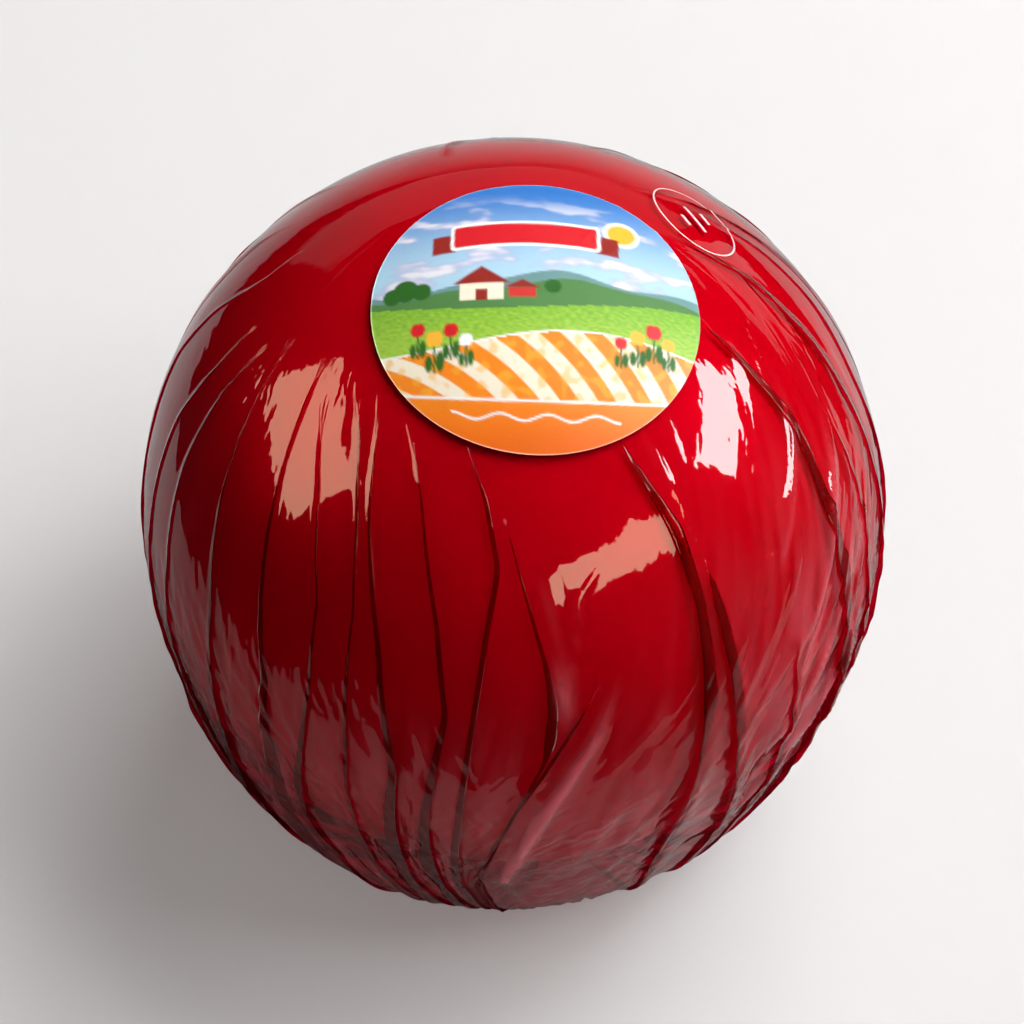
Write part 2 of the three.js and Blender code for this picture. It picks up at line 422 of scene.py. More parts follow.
class Pleat:
    """One fold, row by row: its edge in degrees, its width, ramp and height in mm, and how open it
    is."""

    def __init__(self, side, height, path):
        down, turn, width = np.array(path, float).T
        self.side = side
        self.edge = smooth_rows(np.interp(rows, down, turn))
        self.open = smoothstep(rows, down[0] - 2, down[0] + OPENS_OVER)
        closing = 1 - smoothstep(rows, GATHER_FROM, GATHER_TO)
        self.width = smooth_rows(np.interp(rows, down, width)) * closing
        grown = smoothstep(rows, *GROWS_OVER)
        sunk = 1 - UNDERSIDE_SINK * smoothstep(rows, *SINKS_OVER)
        first = np.interp(rows, [down[0], down[0] + EDGE_OVER], EDGE_HEIGHT)
        self.height = np.maximum(first, lerp(first, height, grown)) * self.open * closing * sunk
        self.ramp = lerp(RAMP_CLOSE, RAMP_LOW + RAMP_MORE * height, grown)


def settle(pleats):
    """Narrows folds that would run into the next one, and turns widths and ramps into degrees."""
    count = len(pleats)
    for i, pleat in enumerate(pleats):
        other = pleats[(i + pleat.side) % count]
        apart = np.abs(((other.edge - pleat.edge) + 180) % 360 - 180)
        # where both folds lie towards each other, each keeps to its own half
        room = apart * (0.46 if other.side != pleat.side else 0.92)
        width = np.minimum(to_degrees(pleat.width), 0.62 * room)
        pleat.ramp = np.minimum(to_degrees(pleat.ramp), np.maximum(room - width, 0.2 * room))
        pleat.width = width


def fold_relief(pleat, away):
    """Height of a fold's top layer, at degrees from its edge to the side it lies on."""
    share = away / np.maximum(pleat.width + pleat.ramp, 1e-6)
    body = pleat.height * (1 - smoothstep(share, 0, 1))
    lip = LIP_HEIGHT * pleat.open * np.exp(-rad(away) * ring / LIP_REACH)
    return (body + lip * (1 - smoothstep(share, 0.5, 1))) * (away >= 0)


def fold_columns():
    """A fold's columns in the order of the sheet, from its foot to its top: the layer that each is
    on, and its place over the fold's width from the open edge."""
    places = np.linspace(0, 1, FOLD_COLUMNS)
    foot = [("foot", p) for p in places[:-1]]
    middle = [("middle", p) for p in places[::-1][1:-1]]
    top = [("top", p) for p in places[1:]]
    return [*foot, ("turn_in", 1.0), *middle, ("turn_out", 0.0), *top]


def fold_heights(pleat, layer, place):
    """Height of a fold's column over the film beside it, row by row."""
    top = fold_relief(pleat, place * pleat.width)
    gap = LAYER * pleat.open
    if layer == "foot":
        return 0 * top
    if layer == "turn_in":
        return 0.5 * gap
    if layer == "middle":
        return lerp(top - gap, gap, place ** 1.5)
    if layer == "turn_out":
        return top - 0.5 * gap
    return top


def lay_out(pleats):
    """The sheet's columns, as arrays of degrees round, of relief and of how folded they are, one
    row for each column."""
    order = fold_columns()
    turns, reliefs, folded, edges = [], [], [], []
    count = len(pleats)
    for i, pleat in enumerate(pleats):
        columns = order if pleat.side == RIGHT else order[::-1]
        flat = np.minimum(to_degrees(FLAT_STRIP), FLAT_MOST)
        middle = pleat.edge + pleat.side * 0.5 * pleat.width
        low, high = middle - 0.5 * flat, middle + 0.5 * flat
        for k, (layer, place) in enumerate(columns):
            laid = pleat.edge + pleat.side * place * pleat.width
            spread_out = lerp(low, high, k / (len(columns) - 1))
            turn = lerp(spread_out, laid, pleat.open)
            if layer == "turn_out":
                edges.append(len(turns))
            turns.append(turn)
            reliefs.append(fold_heights(pleat, layer, place))
            folded.append(pleat.open)
        following = pleats[(i + 1) % count]
        start = turns[-1]
        ahead = following.edge + (360 if i + 1 == count else 0)
        room = following.width * following.open
        end = ahead if following.side == RIGHT else ahead - room
        end = lerp(ahead - 0.5 * flat, end, following.open)
        breadth = RADIUS * rad(end[WIDEST_ROW] - start[WIDEST_ROW])
        shown = 0.5 * (start + end)[WIDEST_ROW] < turn_of(SHOWN_PLEATS[-1], -1)
        steps = max(4, round(breadth / COLUMN_SPACING[0 if shown else 1]))
        for k in range(1, steps):
            # columns stand closer beside the folds
            share = k / steps - 0.5 * math.sin(2 * math.pi * k / steps) / (2 * math.pi)
            turn = lerp(start, end, share)
            turns.append(turn)
            relief = np.zeros(ROWS)
            if pleat.side == RIGHT:
                relief = relief + fold_relief(pleat, turn - pleat.edge)
            if following.side == LEFT:
                relief = relief + fold_relief(following, ahead - turn)
            reliefs.append(relief)
            folded.append(np.zeros(ROWS))
    return np.array(turns), np.array(reliefs), np.array(folded), edges


def new_mesh(name, points, faces, material, replaced=()):
    """A piece from points in mm and faces, riding on the part's one body."""
    mesh = bpy.data.meshes.new(name)
    mesh.from_pydata((np.asarray(points) / 1000).tolist(), [], faces)
    mesh.shade_smooth()
    mesh.materials.append(material)
    piece = bpy.data.objects.new(name, mesh)
    bpy.context.scene.collection.objects.link(piece)
    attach(piece, "root")
    if replaced:
        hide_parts(*replaced)
    return piece


def store(piece, name, kind, values):
    """Keeps a value for each point of a piece, for its material to read."""
    attribute = piece.data.attributes.new(name, kind, "POINT")
    field = {"FLOAT": "value", "FLOAT_COLOR": "color", "FLOAT_VECTOR": "vector"}[kind]
    attribute.data.foreach_set(field, np.asarray(values, np.float32).ravel())


def grid_faces(across, along, closed=False):
    """Quads over a grid of points, numbered along first. closed joins the last row to the first."""
    faces = []
    last = across if closed else across - 1
    for i in range(last):
        a, b = i * along, (i + 1) % across * along
        faces += [(a + j, a + j + 1, b + j + 1, b + j) for j in range(along - 1)]
    return faces


def film_haze(down, turn):
    """How much of the light the film scatters, where it is crumpled and stands off the ball."""
    veils = [
        0.6 * smoothstep(down, 84, 112) * lerp(1.0, 0.3, patch(down, turn, *CLEAR_FRONT)),
        np.minimum(1.3 * patch(down, turn, *HAZY_RIGHT), 1),
        0.55 * patch(down, turn, *HAZY_LEFT),
        1.3 * patch(down, turn, *HAZY_FOOT),
    ]
    streaked = np.clip(0.45 + 1.1 * streaks(down, turn, 2.4, 20, 0.3, 15), 0, 1)
    crests = 1.5 * np.minimum(ridge_relief(down, turn), 1) ** 2.2
    return HAZE_MOST * (np.max(veils, axis=0) * lerp(0.1, 1.2, streaked) + crests)


def film_creased(down, turn):
    """How much of each kind of fine crease the film has: straight, leaning and mottled."""
    loose = looseness(down, turn)
    reeds = patch(down, turn, *REEDS) * smoothstep(down, 77, 80)
    straight = 0.05 + 1.15 * loose + 1.6 * reeds
    foot = 1.3 * patch(down, turn, *FRONT_FOOT)
    leaning = np.maximum(patch(down, turn, *LEANING_RIGHT), foot)
    mottled = np.maximum(patch(down, turn, *MOTTLED_LEFT), patch(down, turn, *MOTTLED_FRONT))
    creased = stacked(straight, leaning, 0.08 + mottled + 0.5 * loose)
    return creased * smoothstep(down, 12, 32)[..., None]


def film_surface():
    """The sheet: its points in mm by column and row, the open edges, and what its material reads."""
    pleats = [Pleat(*row) for row in [*SHOWN_PLEATS, *back_pleats()]]
    for i, pleat in enumerate(pleats):
        even = turn_of(SHOWN_PLEATS[0], 0) + 360 * i / len(pleats)
        pleat.edge = lerp(even, pleat.edge, smoothstep(rows, *CAP_EVEN))
    settle(pleats)
    turns, reliefs, folded, edges = lay_out(pleats)
    down = np.broadcast_to(rows[None, :], turns.shape)
    direction = film_direction(down, turns)
    relief = reliefs + film_crinkle(down, turns)
    points = CENTRE + direction * film_radius(direction, relief)[..., None]
    points[..., 2] = np.maximum(points[..., 2], 0)
    # where each point was in the sheet before it was pleated, in metres
    step = np.linalg.norm(np.diff(points[:, WIDEST_ROW], axis=0), axis=1)
    along_sheet = np.concatenate([[0], np.cumsum(step)])
    along_axis = RADIUS / 1000 * rad(down)
    sheet = stacked(along_sheet[:, None] / 1000, along_axis, 0 * down)
    haze = film_haze(down, turns) * (1 - FOLD_CLEAR * folded)
    haze = haze + FLAP_HAZE * patch(down, turns, *FLAP)
    return points, edges, len(pleats), sheet, film_creased(down, turns), haze


def make_film(material):
    """The film in four pieces, parted along the open edges of folds. Gives back its points."""
    points, edges, count, sheet, creased, haze = film_surface()
    pole = CENTRE + film_axis * film_radius(film_axis)
    cuts = [edges[round(k * count / 4)] for k in range(4)]
    names = ["film_left", "film_right", "film_back_right", "film_back_left"]
    for k, name in enumerate(names):
        start, stop = cuts[k], cuts[(k + 1) % 4]
        if stop <= start:
            stop += len(points)
        picked = np.arange(start, stop + 1) % len(points)
        across = len(picked)
        flat = np.vstack([points[picked].reshape(-1, 3), pole])
        cap = [(len(flat) - 1, i * ROWS, (i + 1) * ROWS) for i in range(across - 1)]
        faces = grid_faces(across, ROWS) + cap
        piece = new_mesh(name, flat, faces, material, ["wrapped_cheese"])
        for kept, values in (("sheet", sheet), ("creased", creased)):
            at_points = np.vstack([values[picked].reshape(-1, 3), [[0, 0, 0]]])
            store(piece, kept, "FLOAT_VECTOR", at_points)
        store(piece, "haze", "FLOAT", [*haze[picked].ravel(), 0])
    return points


def make_wax(material):
    """The waxed ball, a little uneven."""
    across, along = WAX_GRID
    turn = np.linspace(0, 360, across, endpoint=False)[:, None]
    down = np.linspace(0.5, 179.5, along)[None, :]
    sine = np.sin(rad(down))
    direction = stacked(sine * np.cos(rad(turn)), sine * np.sin(rad(turn)), np.cos(rad(down)))
    uneven = WAX_UNEVEN * gradient_noise(direction * 3, 11)
    out = wax_radius(direction) + FILM_GAP - WAX_GAP + uneven - WAX_UNEVEN
    points = CENTRE + direction * out[..., None]
    points[..., 2] = np.maximum(points[..., 2], WAX_LOWEST)
    flat = [*points.reshape(-1, 3), points[:, 0].mean(0), points[:, -1].mean(0)]
    top, bottom = len(flat) - 2, len(flat) - 1
    faces = grid_faces(across, along, True)
    for i in range(across):
        following = (i + 1) % across
        faces.append((top, i * along, following * along))
        faces.append((bottom, following * along + along - 1, i * along + along - 1))
    new_mesh("waxed_ball", flat, faces, material, ["wrapped_cheese"])


def over(colour, shade, amount):
    """Lays a shade over colours, by an amount from 0 to 1 at each point."""
    return lerp(colour, np.array(shade), np.clip(amount, 0, 1)[..., None])


def linear(red, green, blue):
    """A colour from 0 to 255 steps of a screen, as light."""
    screen = np.array([red, green, blue]) / 255
    return np.where(screen <= 0.04045, screen / 12.92, ((screen + 0.055) / 1.055) ** 2.4)


SKY_HIGH = linear(52, 118, 196)
SKY_LOW = linear(176, 212, 232)
CLOUD = linear(233, 232, 238)
CLOUD_SHADE = linear(176, 176, 214)
MISTY_HILL = linear(110, 150, 150)
FAR_HILL = linear(84, 132, 74)
MEADOW = linear(120, 178, 52)
MEADOW_LIGHT = linear(166, 204, 74)
ORANGE = linear(252, 140, 34)
ORANGE_DEEP = linear(240, 108, 18)
GOLD = linear(252, 184, 60)
CREAM = linear(250, 238, 214)
RED = linear(214, 34, 44)
WHITE = linear(250, 250, 248)
BARN = linear(150, 44, 36)
LEAF = linear(48, 104, 40)
SOFT_EDGE = 0.012  # of the printed shapes, over the label's radius
PRINT_TONE = 0.78  # of the print under the studio's light
# Where the print has trees and tulips, over the label's radius, and how large they are
TREES = [(-0.86, 0.06, 0.06), (-0.78, 0.09, 0.08), (-0.68, 0.07, 0.06), (0.10, 0.08, 0.05)]
TULIPS = [
    (-0.70, -0.20, 1.0, RED),
    (-0.60, -0.27, 1.15, GOLD),
    (-0.50, -0.22, 1.0, RED),
    (-0.41, -0.29, 0.9, WHITE),
    (0.60, -0.22, 1.0, GOLD),
    (0.70, -0.16, 1.1, RED),
    (0.79, -0.23, 0.9, GOLD),
    (0.50, -0.27, 0.85, RED),
]


def within(distance):
    """1 inside a shape and 0 outside, from the distance to its outline (negative inside)."""
    return 1 - smoothstep(distance, -SOFT_EDGE / 2, SOFT_EDGE / 2)


def disc(u, v, at_u, at_v, radius, squash=1.0):
    return within(np.hypot(u - at_u, (v - at_v) / squash) - radius)


def bar(u, v, at_u, at_v, wide, high, corner=0.0):
    across = np.abs(u - at_u) - wide / 2 + corner
    upright = np.abs(v - at_v) - high / 2 + corner
    outside = np.hypot(np.maximum(across, 0), np.maximum(upright, 0))
    return within(outside + np.minimum(np.maximum(across, upright), 0) - corner)


def gable(u, v, at_u, base, wide, high):
    """A triangle that stands on its base."""
    slope = high - 2 * high / wide * np.abs(u - at_u)
    return within((v - base - slope) / 1.8) * within(base - v)


def cloud_cover(u, v, seed):
    drift = stacked(u * 2.2, v * 5.5, 0)
    cover = gradient_noise(drift, seed) + 0.5 * gradient_noise(drift * 2.3, seed + 1)
    return cover + 0.25 * gradient_noise(drift * 5.1, seed + 2)


def filled(distance):
    """1 inside a shape and 0 outside, with a hard edge."""
    return np.where(distance < 0, 1.0, 0.0)


def print_sky(u, v):
    """A sky with clouds, and a low sun with a pale ring."""
    yield SKY_LOW, smoothstep(-v, -0.95, -0.15)
    cover = cloud_cover(u, v, 21)
    yield CLOUD_SHADE, smoothstep(cover, 0.0, 0.5) * smoothstep(-v, -0.85, -0.5)
    yield CLOUD, smoothstep(cover, 0.15, 0.6) * smoothstep(-v, -0.9, -0.55)
    for shade, size in ((CREAM, 0.115), (GOLD, 0.085)):
        yield shade, disc(u, v, 0.52, 0.56, size)


def print_hills(u, v):
    """Hills, one behind the other, with trees, and the meadow before them."""
    ridge = 0.075 + 0.05 * np.sin(3.1 * u + 0.6) + 0.02 * np.sin(9 * u)
    yield MISTY_HILL, within(v - ridge - 0.05 - 0.03 * np.sin(5 * u + 2))
    yield FAR_HILL, within(v - ridge)
    for at_u, at_v, size in TREES:
        yield LEAF, disc(u, v, at_u, at_v, size)
    meadow = -0.02 + 0.06 * np.sin(2.2 * u - 1.0)
    grass = gradient_noise(stacked(u * 30, v * 60, 0), 31)
    green = lerp(MEADOW, MEADOW_LIGHT, smoothstep(grass - 3 * v, -0.4, 1.4)[..., None])
    yield green, filled(v - meadow)


def print_barn(u, v):
    """A barn with a door, and a shed beside it."""
    yield CREAM, bar(u, v, -0.32, 0.045, 0.26, 0.13)
    yield BARN, gable(u, v, -0.32, 0.10, 0.34, 0.13)
    yield BARN, bar(u, v, -0.32, 0.015, 0.07, 0.08)
    yield RED, bar(u, v, -0.08, 0.03, 0.16, 0.07) * 0.9
    yield BARN, gable(u, v, -0.08, 0.065, 0.22, 0.06)


def print_crops(u, v):
    """Rows of crops that bend round the field, orange and pale by turns."""
    field = -0.30 + 0.07 * np.sin(2.6 * u + 0.8)
    bend = np.hypot(u + 1.5, (v + 1.55) * 1.15)
    pale = smoothstep(0.5 + 0.5 * np.sin(bend * 31), 0.42, 0.58)
    tufts = gradient_noise(stacked(u * 14, v * 14, 0), 33)
    crops = over(np.broadcast_to(ORANGE, (*u.shape, 3)), CREAM, pale)
    crops = over(crops, GOLD, 0.55 * smoothstep(tufts, 0, 0.4))
    yield WHITE, within(v - field - 0.012)
    yield crops, filled(v - field)


def print_tulips(u, v):
    """Each tulip is a stem, two leaves and a flower of two petals."""
    for at_u, at_v, size, shade in TULIPS:
        yield LEAF, bar(u, v, at_u, at_v - 0.11 * size, 0.014, 0.17 * size)
        yield LEAF, disc(u, v, at_u + 0.03 * size, at_v - 0.13 * size, 0.022 * size, 2.6)
        yield LEAF, disc(u, v, at_u - 0.03 * size, at_v - 0.14 * size, 0.020 * size, 2.4)
        for side in (-1, 1):
            yield shade, disc(u, v, at_u + side * 0.014 * size, at_v, 0.030 * size, 1.5)


def print_foot(u, v):
    """A plain band under a fine white line, with a white wave in it."""
    foot = -0.68 + 0.10 * u * u
    deep = lerp(ORANGE, ORANGE_DEEP, smoothstep(-v, 0.6, 1.0)[..., None])
    yield deep, filled(v - foot)
    yield WHITE, within(np.abs(v - foot) - 0.008)
    wave = foot - 0.10 + 0.02 * np.sin(22 * u)
    yield WHITE, within(np.abs(v - wave) - 0.007) * (np.abs(u) < 0.5)


def print_ribbon(u, v):
    """A plain bent ribbon with folded ends."""
    lift = 0.50 - 0.10 * u * u
    bent = v - lift + 0.5
    for side in (-1, 1):
        yield BARN, bar(u, bent, -0.06 + side * 0.49, 0.455, 0.14, 0.15)
    yield WHITE, bar(u, bent, -0.06, 0.5, 0.90, 0.22, 0.03)
    yield RED, bar(u, bent, -0.06, 0.5, 0.86, 0.175, 0.02)


def print_edge(u, v):
    """A pale edge, where the knife cut beside the print."""
    yield WHITE, 0.3 * smoothstep(np.hypot(u, v), 0.99, 0.999)


def label_print(u, v):
    """The label's colours, drawn one shape over another. u and v run from -1 to 1 over it."""
    colour = np.broadcast_to(SKY_HIGH, (*u.shape, 3))
    drawings = [print_sky, print_hills, print_barn, print_crops, print_tulips, print_foot]
    for drawing in [*drawings, print_ribbon, print_edge]:
        for shade, cover in drawing(u, v):
            colour = over(colour, shade, cover)
    return PRINT_TONE * colour


def make_label(material):
    """The label, laid over the film on top: a square grid drawn into a disc, both faces and rim."""
    side = np.linspace(-1, 1, LABEL_GRID)
    a, b = np.meshgrid(side, side, indexing="ij")
    u, v = a * np.sqrt(1 - b * b / 2), b * np.sqrt(1 - a * a / 2)
    out, turn = np.hypot(u, v), np.arctan2(v, u)
    # laid over the curve, so that the disc keeps its size
    flat = RADIUS * np.sin(out * LABEL_ACROSS / 2 / RADIUS)
    x = LABEL_AT[0] + flat * np.cos(turn)
    y = LABEL_AT[1] + flat * np.sin(turn)
    z = HALF_HEIGHT * np.sqrt(1 - (x * x + y * y) / RADIUS ** 2)
    direction = unit(stacked(x, y, z))
    lift = LABEL_GAP
    for height, waves, seed in LABEL_WAVES:
        lift = lift + height * gradient_noise(direction * waves, seed)
    curl = LABEL_CURL * smoothstep(out, 0.86, 1.0)
    lift = lift + curl * (0.5 + gradient_noise(direction * 6, 43))
    for height, at, half, start, full in LABEL_CREASES:
        lift = lift + height * np.exp(-(((turn - at) / half) ** 2)) * smoothstep(out, start, full)
    radius = film_radius(direction)
    above = CENTRE + direction * (radius + lift + LABEL_THICKNESS)[..., None]
    below = CENTRE + direction * (radius + lift)[..., None]
    n = LABEL_GRID
    count = n * n
    quads = grid_faces(n, n)
    faces = [tuple(reversed(q)) for q in quads]
    faces += [tuple(count + i for i in q) for q in quads]
    rim = [i * n for i in range(n)]
    rim += [(n - 1) * n + j for j in range(1, n)]
    rim += [i * n + n - 1 for i in range(n - 2, -1, -1)]
    rim += list(range(n - 2, 0, -1))
    for i, j in zip(rim, rim[1:] + rim[:1]):
        faces.append((i, j, count + j, count + i))
    points = np.vstack([above.reshape(-1, 3), below.reshape(-1, 3)])
    piece = new_mesh("round_label", points, faces, material, ["label"])
    colour = np.concatenate([label_print(u, v), np.ones((n, n, 1))], axis=-1).reshape(-1, 4)
    # the underside is bare paper, and the rim is cut through the print
    bare = (out < 0.97).reshape(-1, 1)
    backing = np.where(bare, [*(0.6 * WHITE), 1.0], colour * [0.8, 0.8, 0.8, 1.0])
    store(piece, "print", "FLOAT_COLOR", np.vstack([colour, backing]))


# The oval stamp on the film: its middle, as degrees down from the film's axis and round it, its
# half sizes, and how its long axis lies (towards the front, and down)
STAMP_AT = (35.6, 93.8)
STAMP_HALF = (10.6, 8.0)
STAMP_LIES = (-0.83, 0.555)
STAMP_LINE = 0.36  # breadth of its outline
STAMP_BARS = [(-0.3, 2.9, 3.4), (0.0, 0.0, 8.0), (0.5, -2.9, 3.2)]  # along, across, length
STAMP_BAR = 0.75  # breadth of a bar
STAMP_STEP = 0.25  # from point to point along a bar
STAMP_POINTS = 240  # of its outline
STAMP_REACH = 14  # degrees of film round its middle
STAMP_LIFT = 0.05  # over the film


def strip(along, across, length):
    """A straight bar, as its middle line, the way from there to its side, and whether it closes."""
    t = np.linspace(-length / 2, length / 2, max(2, int(length / STAMP_STEP)))
    line = stacked(along + t, across)
    return line, np.broadcast_to([0.0, 1.0], line.shape) * STAMP_BAR / 2, False


def make_stamp(material, film_points):
    """The stamp's outline and bars, laid on the mesh of the film."""
    middle = film_direction(*STAMP_AT)
    turning = unit(np.cross(film_axis, middle))
    downward = unit(np.cross(turning, middle))
    long_axis = unit(STAMP_LIES[0] * turning + STAMP_LIES[1] * downward)
    short_axis = np.cross(middle, long_axis)
    t = np.linspace(0, 2 * math.pi, STAMP_POINTS, endpoint=False)
    oval = stacked(STAMP_HALF[0] * np.cos(t), STAMP_HALF[1] * np.sin(t))
    out = unit(stacked(np.cos(t) / STAMP_HALF[0], np.sin(t) / STAMP_HALF[1]))
    lines = [(oval, out * STAMP_LINE / 2, True)]
    lines += [strip(*row) for row in STAMP_BARS]
    grid = film_points - CENTRE
    near = unit(grid) @ middle > math.cos(rad(STAMP_REACH))
    index = np.full(near.shape, -1)
    index[near] = np.arange(near.sum())
    corners = stacked(index[:-1, :-1], index[:-1, 1:], index[1:, 1:], index[1:, :-1])
    polygons = corners[(corners >= 0).all(-1)]
    tree = BVHTree.FromPolygons(grid[near].tolist(), polygons.tolist())
    points, faces = [], []
    for line, half, closed in lines:
        start = len(points)
        for at, side in zip(line, half):
            for end in (at - side, at + side):
                towards = unit(middle * RADIUS + long_axis * end[0] + short_axis * end[1])
                hit = tree.ray_cast(Vector(towards * 1.5 * RADIUS), Vector(-towards))[0]
                reach = hit.length if hit else film_radius(towards)
                points.append(CENTRE + towards * (reach + STAMP_LIFT))
        n = len(line)
        for i in range(n if closed else n - 1):
            j = (i + 1) % n
            faces.append((start + 2 * i, start + 2 * i + 1, start + 2 * j + 1, start + 2 * j))
    new_mesh("oval_stamp", points, faces, material)


class Shader:
    """A new material, made node by node."""

    def __init__(self, name):
        self.material = bpy.data.materials.new(name)
        self.material.use_nodes = True
        self.tree = self.material.node_tree
        self.tree.nodes.clear()

    def add(self, kind, *first, **named):
        node = self.tree.nodes.new(f"ShaderNode{kind}")
        self.feed(node, *first, **named)
        return node

    def feed(self, node, *first, **named):
        """Sets a node's inputs, in order or by name with _ for a space, each to a constant, to the
        socket that feeds it or to a node whose first output does."""
        inputs = [*zip(node.inputs, first)]
        inputs += [(node.inputs[name.replace("_", " ")], value) for name, value in named.items()]
        for socket, value in inputs:
            if isinstance(value, bpy.types.Node):
                value = value.outputs[0]
            if isinstance(value, bpy.types.NodeSocket):
                self.tree.links.new(value, socket)
            else:
                socket.default_value = value

    def math(self, operation, first, second):
        node = self.add("Math", first, second)
        node.operation = operation
        return node

    def attribute(self, name, output):
        """The socket of a value that a piece keeps for each of its points."""
        node = self.add("Attribute")
        node.attribute_name = name
        return node.outputs[output]

    def place(self):
        """The socket of a point's place on the object."""
        return self.add("TexCoord").outputs["Object"]

    def ramp(self, share, first, last, *between):
        """A colour ramp by its stops, each a position and a colour."""
        node = self.add("ValToRGB", share)
        stops = node.color_ramp.elements
        for k, (position, colour) in enumerate((first, last)):
            stops[k].position = position
            stops[k].color = (*colour, 1)
        for position, colour in between:
            stops.new(position).color = (*colour, 1)
        return node

    def finish(self, surface):
        self.add("OutputMaterial", surface)
        return self.material


def crease_noise(shader, vector, size, lean, detail):
    """Noise over the sheet whose bumps are size (across, along) in mm, and lean by a share."""
    turn = shader.add("Mapping", vector, Rotation=(0, 0, math.atan(lean)))
    shape = shader.add("Mapping", turn, Scale=(1000 / size[0], 1000 / size[1], 1))
    return shader.add("TexNoise", shape, Scale=1, Detail=detail)


FILM_GLOSS = 0.036  # share of light that the film mirrors where it is seen straight on
FILM_TINT = (0.66, 0.009, 0.11, 1)
FILM_VEIL = (0.80, 0.16, 0.20, 1)  # of the light that it scatters
CREASE_DEPTH = 0.00036  # of the fine creases in the gloss, in metres
# The fine creases, straight, leaning and mottled: breadth and length in mm, lean and detail
FINE_CREASES = [((1.5, 16), 0, 0.0), ((2.0, 14), -0.8, 1.0), ((2.6, 4.0), 0.3, 1.0)]


def film_material():
    """Tinted clear film: seen through in red, glossy, with fine creases where it is gathered."""
    shader = Shader("tinted_film")
    sheet = shader.attribute("sheet", "Vector")
    parts = shader.add("SeparateXYZ", shader.attribute("creased", "Vector"))
    straight, leaning, mottled = [
        shader.math("MULTIPLY", crease_noise(shader, sheet, *kind), amount)
        for kind, amount in zip(FINE_CREASES, parts.outputs)
    ]
    height = shader.math("ADD", shader.math("ADD", straight, leaning), mottled)
    bump = shader.add("Bump", Strength=1, Distance=CREASE_DEPTH, Height=height)
    # the mirrored share grows towards the rim
    facing = shader.add("LayerWeight", Blend=0.5, Normal=bump).outputs["Facing"]
    rising = shader.math("MULTIPLY", shader.math("POWER", facing, 5.0), 1 - FILM_GLOSS)
    share = shader.math("ADD", rising, FILM_GLOSS)
    clear = shader.add("BsdfTransparent", Color=FILM_TINT)
    scattered = shader.add("BsdfDiffuse", Color=FILM_VEIL)
    body = shader.add("MixShader", shader.attribute("haze", "Fac"), clear, scattered)
    gloss = shader.add("BsdfGlossy", Color=(1, 1, 1, 1), Roughness=0.03, Normal=bump)
    return shader.finish(shader.add("MixShader", share, body, gloss))


def mottled_material(name, first, last, scale, detail, **constants):
    """A surface whose colour wanders between two stops of a ramp."""
    shader = Shader(name)
    mottle = shader.add("TexNoise", shader.place(), Scale=scale, Detail=detail)
    colour = shader.ramp(mottle, first, last)
    return shader.finish(shader.add("BsdfPrincipled", Base_Color=colour, **constants))


def wax_material():
    """Red cheese wax, a little mottled, with a soft gloss."""
    dark, light = (0.35, (0.80, 0.02, 0.30)), (0.65, (0.88, 0.03, 0.36))
    gloss = {"Roughness": 0.36, "Specular_IOR_Level": 0.7}
    return mottled_material("red_wax", dark, light, 38, 3, **gloss)


def ink_material():
    """White ink, worn a little thin in places."""
    thin, full = (0.3, (0.50, 0.30, 0.33)), (0.6, (0.62, 0.46, 0.48))
    return mottled_material("white_ink", thin, full, 900, 2, Roughness=0.4)


def label_material():
    """Printed paper under a thin gloss coat."""
    shader = Shader("printed_paper")
    grain = shader.add("TexNoise", shader.place(), Scale=2600, Detail=2)
    speckle = shader.add("Mix")
    speckle.data_type = "RGBA"
    speckle.blend_type = "MULTIPLY"
    printed = shader.attribute("print", "Color")
    shader.feed(speckle, Factor=0.12, A=printed, B=grain.outputs["Color"])
    bump = shader.add("Bump", Strength=0.25, Distance=0.00003, Height=grain)
    surface = shader.add("BsdfPrincipled", Roughness=0.38, Specular_IOR_Level=0.4, Normal=bump)
    shader.feed(surface, Base_Color=speckle.outputs["Result"])
    return shader.finish(surface)


def lit_material(name, colour, glow, strength):
    """A matt surface with a little light of its own, which it has in the ball's shadow too."""
    shader = Shader(name)
    surface = shader.add("BsdfDiffuse", Color=(*colour, 1))
    ambient = shader.add("Emission", Color=(*glow, 1), Strength=strength)
    return shader.finish(shader.add("AddShader", surface, ambient))


def board_material():
    """The floor as the film's gloss shows it, with painted shade in its grey: a painted shadow of the
    ball in front of it, palest a little behind the ball, and painted fall-off of light that dims it
    towards the back.
    """
    shader = Shader("board_painted_shade")
    along = shader.add("SeparateXYZ", shader.place()).outputs["Y"]
    # the greys are painted shade: a dim, warm painted shadow where Y is below 0 in front of the ball,
    # and painted fall-off of light from just behind the ball to the back
    between = [(at, (grey,) * 3) for at, grey in ((0.08, 0.38), (0.22, 0.31), (0.5, 0.19))]
    near, far = (0.0, (0.25, 0.235, 0.23)), (1.0, (0.07, 0.07, 0.07))
    return shader.finish(shader.add("BsdfDiffuse", shader.ramp(along, near, far, *between)))


def make_plane(name, low, high, height, material):
    """A flat rectangle from one corner to the other, in metres, as part of the stage."""
    mesh = bpy.data.meshes.new(name)
    corners = [(low[0], low[1]), (high[0], low[1]), (high[0], high[1]), (low[0], high[1])]
    mesh.from_pydata([(x, y, height) for x, y in corners], [], [(0, 1, 2, 3)])
    mesh.materials.append(material)
    plane = bpy.data.objects.new(name, mesh)
    bpy.context.scene.collection.objects.link(plane)
    return plane


